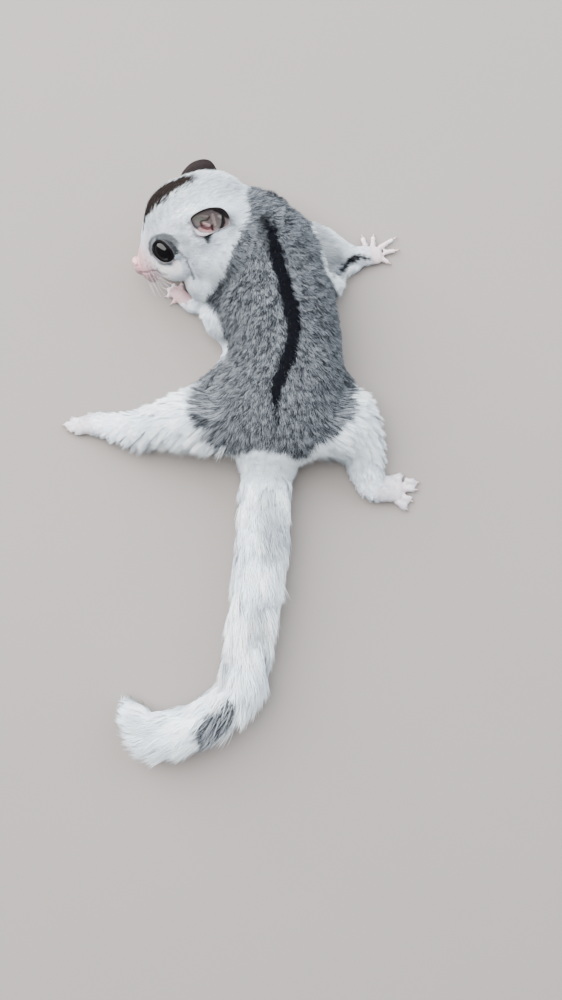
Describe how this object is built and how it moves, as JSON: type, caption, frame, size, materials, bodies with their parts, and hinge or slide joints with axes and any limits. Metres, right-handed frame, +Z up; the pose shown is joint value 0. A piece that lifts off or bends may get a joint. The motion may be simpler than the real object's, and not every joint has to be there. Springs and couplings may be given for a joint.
{
  "type": "young sugar glider, life-size still model",
  "caption": "Young white-faced sugar glider lying on its belly with its legs spread, its head turned aside and its long furry tail bent at the end.",
  "frame": {"origin": "centre of the flat on which the belly rests, in the plane of the floor", "axes": "+Z up, +Y from the body towards the tail, +X towards the animal's left side"},
  "size_m": [0.103, 0.1652, 0.0343],
  "materials": {
    "fur_white": "soft white fur",
    "fur_grey": "soft grey fur with a dark stripe along the back",
    "skin_pink": "bare pink skin",
    "ear_brown": "thin bare brown skin",
    "eye_black": "wet gloss"
  },
  "bodies": {
    "root": {"arm_left": "fur_white", "arm_right": "fur_white", "ear_left": "ear_brown", "ear_right": "ear_brown", "eye_left": "eye_black", "eye_right": "eye_black", "foot_left": "skin_pink", "foot_right": "skin_pink", "gliding_skin_left": "fur_white", "gliding_skin_right": "fur_white", "hand_left": "skin_pink", "hand_right": "skin_pink", "head": "fur_white", "neck": "fur_grey", "nose": "skin_pink", "shin_left": "fur_white", "shin_right": "fur_white", "tail_base": "fur_white", "tail_bend": "fur_white", "tail_middle": "fur_white", "tail_tip": "fur_white", "thigh_left": "fur_white", "thigh_right": "fur_white", "trunk": "fur_grey"}
  },
  "joints": []
}
